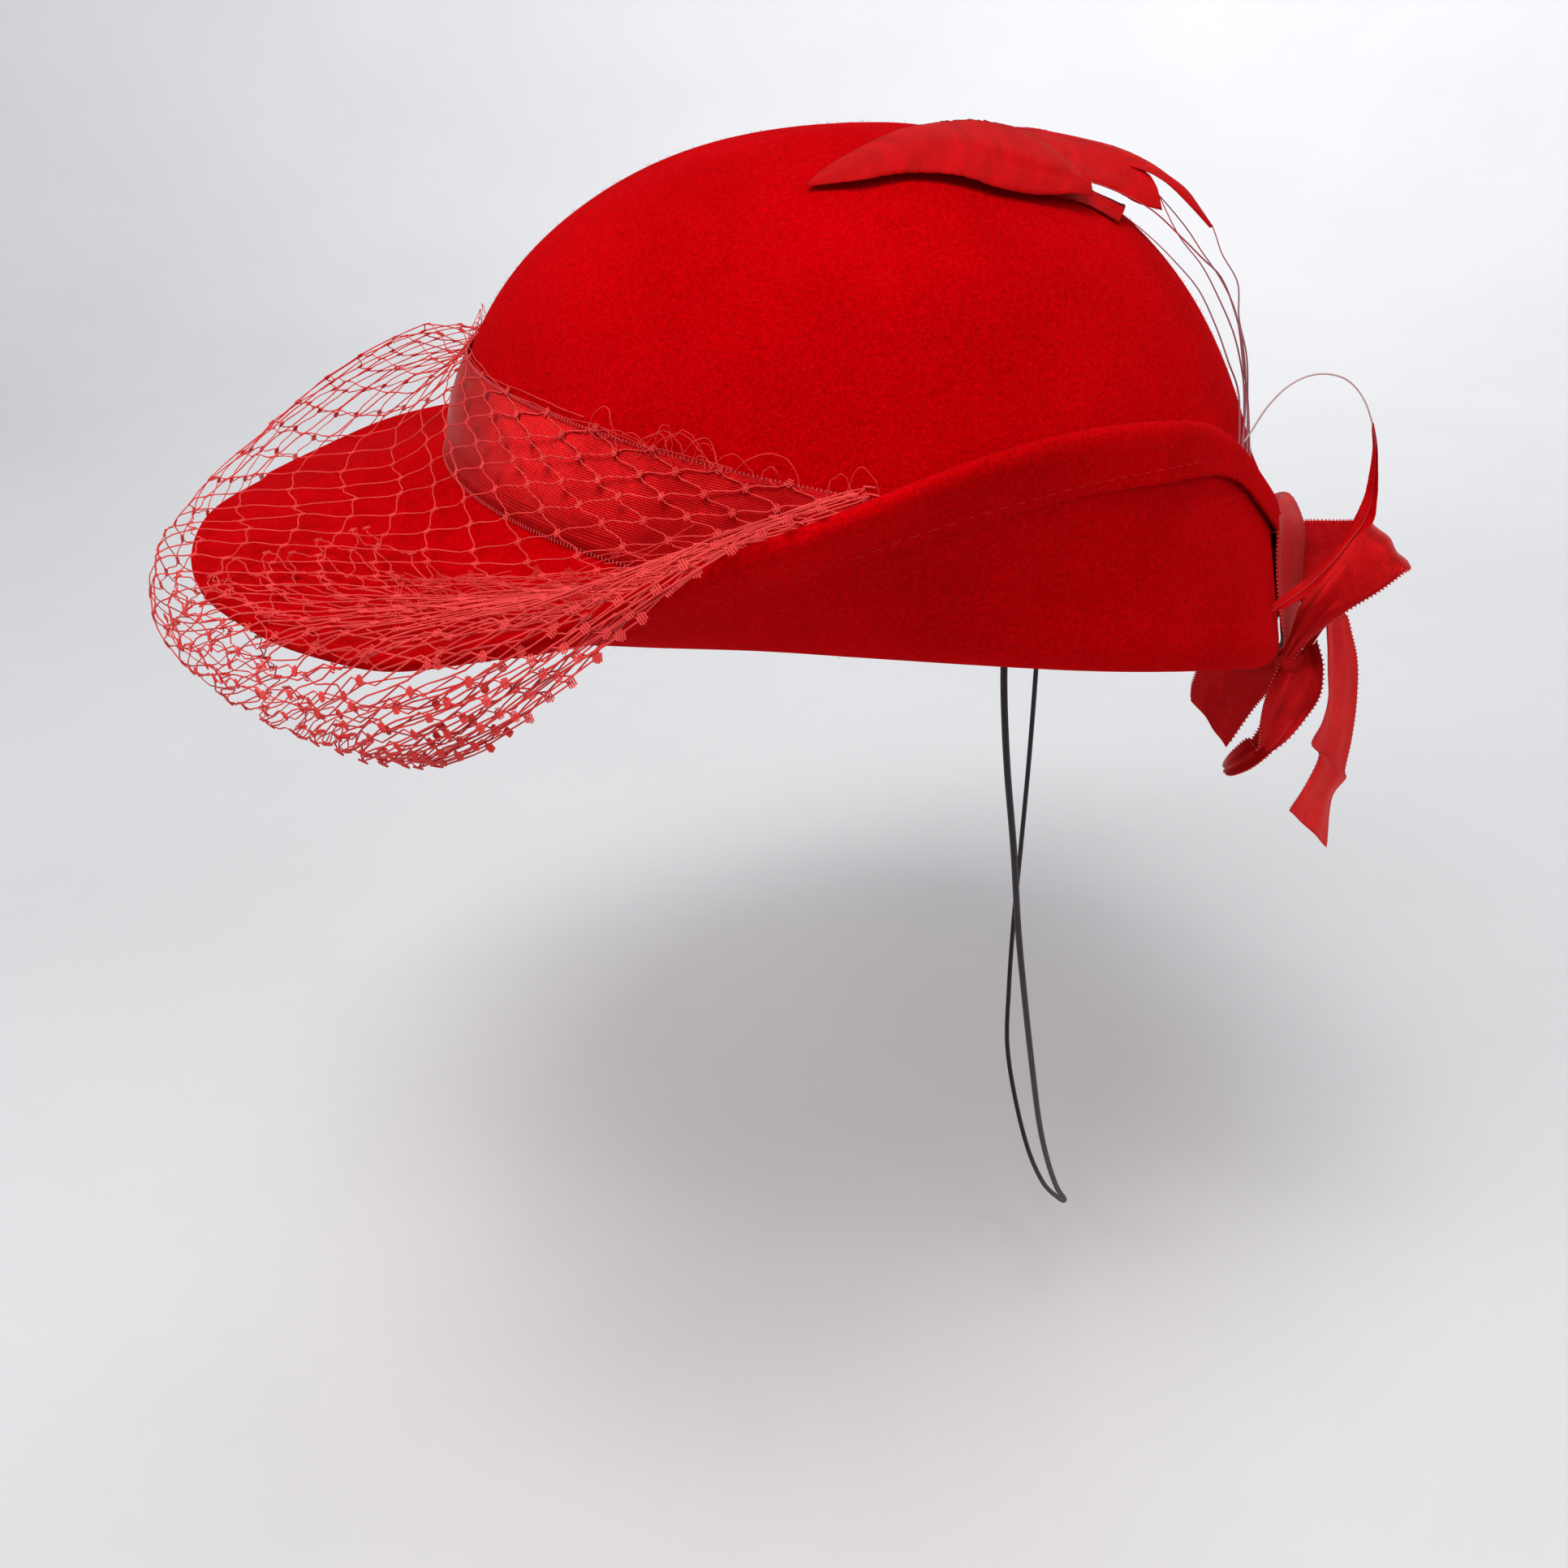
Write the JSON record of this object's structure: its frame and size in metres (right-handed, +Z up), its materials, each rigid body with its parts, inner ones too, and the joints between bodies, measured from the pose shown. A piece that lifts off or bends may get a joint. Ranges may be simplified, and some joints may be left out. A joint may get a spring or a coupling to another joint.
{
  "type": "round-crown felt hat with a visor brim",
  "caption": "Moulded felt hat: round crown, visor-like front brim turned up at the sides and back, ribbon band and bow, stripped feathers, net veil and chin elastic.",
  "frame": {"origin": "middle of the head opening, at the mean height of the seam between crown and brim, where a head holds the hat", "axes": "+Z up, -Y the way the wearer faces, +X the wearer's left"},
  "size_m": [0.3233, 0.3294, 0.3419],
  "materials": {
    "felt": "matt wool felt",
    "ribbon": "ribbed satin ribbon",
    "net": "open knotted net",
    "feather": "stripped dyed feather",
    "elastic": "round braided elastic"
  },
  "bodies": {
    "root": {"hat_body": "felt", "ribbon_band": "ribbon", "veil": "net", "curl_feather": "feather", "ribbon_drop": "ribbon", "bow_loop_back": "ribbon", "bow_loop_low": "ribbon", "bow_tail_left": "ribbon", "bow_tail_right": "ribbon", "bow_knot": "ribbon", "chin_elastic": "elastic", "feather_1": "feather", "feather_2": "feather", "feather_3": "feather", "feather_4": "feather", "feather_5": "feather"}
  },
  "joints": []
}
